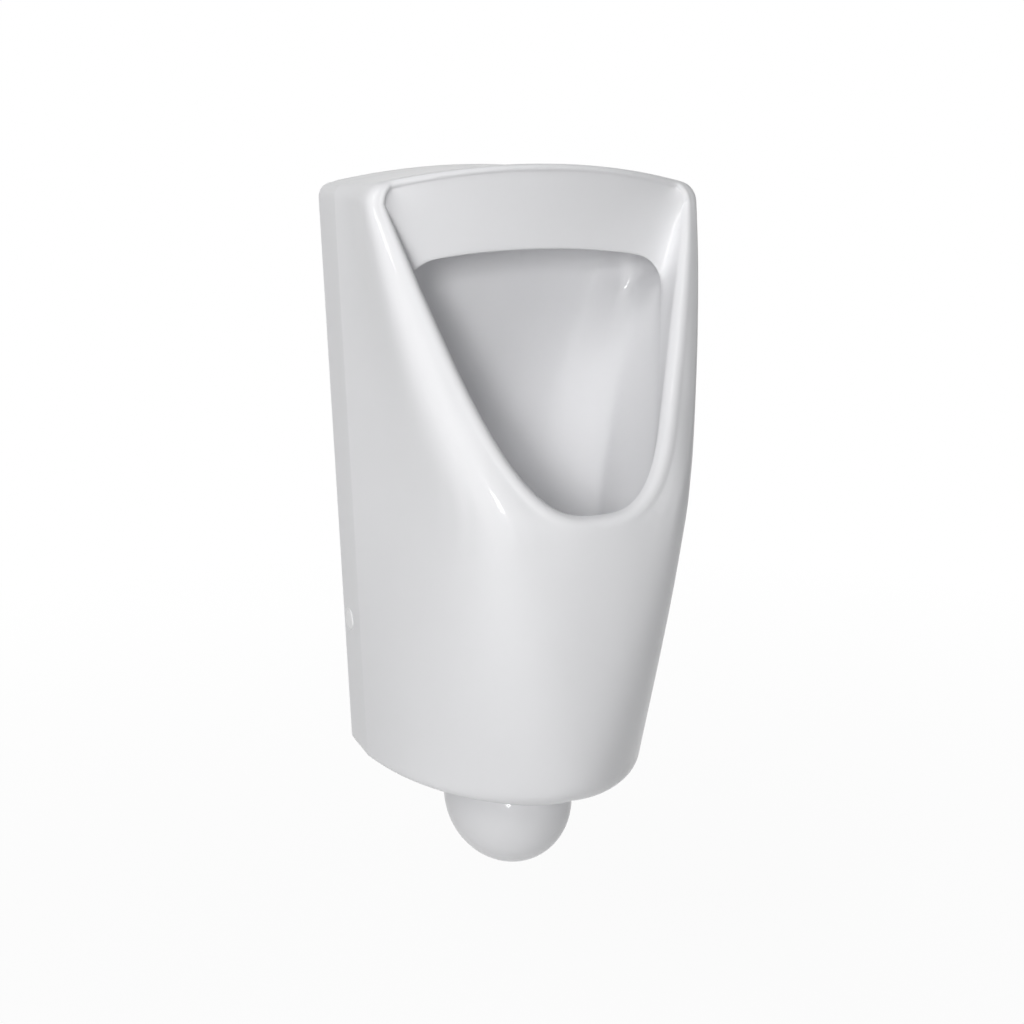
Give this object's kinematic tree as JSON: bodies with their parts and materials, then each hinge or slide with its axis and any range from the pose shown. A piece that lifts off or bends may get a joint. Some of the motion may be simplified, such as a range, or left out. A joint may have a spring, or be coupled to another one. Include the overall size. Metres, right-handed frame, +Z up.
{
  "type": "wall hung urinal",
  "caption": "Wall hung urinal of glazed vitreous china with a flush rim, a built-in trap bulb, a lift-out drain strainer, concealed inlet and outlet, and wall fixings.",
  "frame": {"origin": "where the outlet spigot's axis crosses the wall, in the middle of the width", "axes": "+Z up, +X to the right seen from the front, +Y into the wall, so the front faces -Y"},
  "size_m": [0.3286, 0.377, 0.71],
  "materials": {
    "china": "glossy white glaze",
    "caps": "gloss white",
    "strainer": "brushed",
    "chrome": "polished",
    "steel": "zinc plated",
    "screws": "zinc plated",
    "brass": "satin",
    "rubber": "matt black",
    "nylon": "matt",
    "pipe": "matt grey"
  },
  "bodies": {
    "fixture": {"china_body": "china", "strainer_ring": "rubber", "spreader_head": "chrome", "spreader_stem": "brass", "front_washer": "rubber", "back_washer": "rubber", "pressure_washer": "steel", "back_nut": "brass", "union_nut": "brass", "union_ring": "rubber", "supply_tail": "brass", "outlet_seal": "rubber", "outlet_spigot": "pipe", "hanger_left": "steel", "hanger_right": "steel", "hanger_screws": "screws", "hanger_washers": "screws", "hanger_plugs": "nylon", "fixing_block_left": "nylon", "fixing_block_right": "nylon", "block_screws": "screws", "block_plugs": "nylon", "side_screws": "screws", "side_collars": "nylon"},
    "strainer": {"drain_strainer": "strainer"},
    "cap_left": {"side_cap_left": "caps"},
    "cap_right": {"side_cap_right": "caps"}
  },
  "joints": [
    {"name": "strainer_lift", "type": "slide", "parent": "fixture", "child": "strainer", "axis": [0, 0, 1], "range_m": [0, 0.15]},
    {"name": "cap_left_pull", "type": "slide", "parent": "fixture", "child": "cap_left", "axis": [-1, 0, 0], "range_m": [0, 0.03]},
    {"name": "cap_right_pull", "type": "slide", "parent": "fixture", "child": "cap_right", "axis": [1, 0, 0], "range_m": [0, 0.03]}
  ]
}
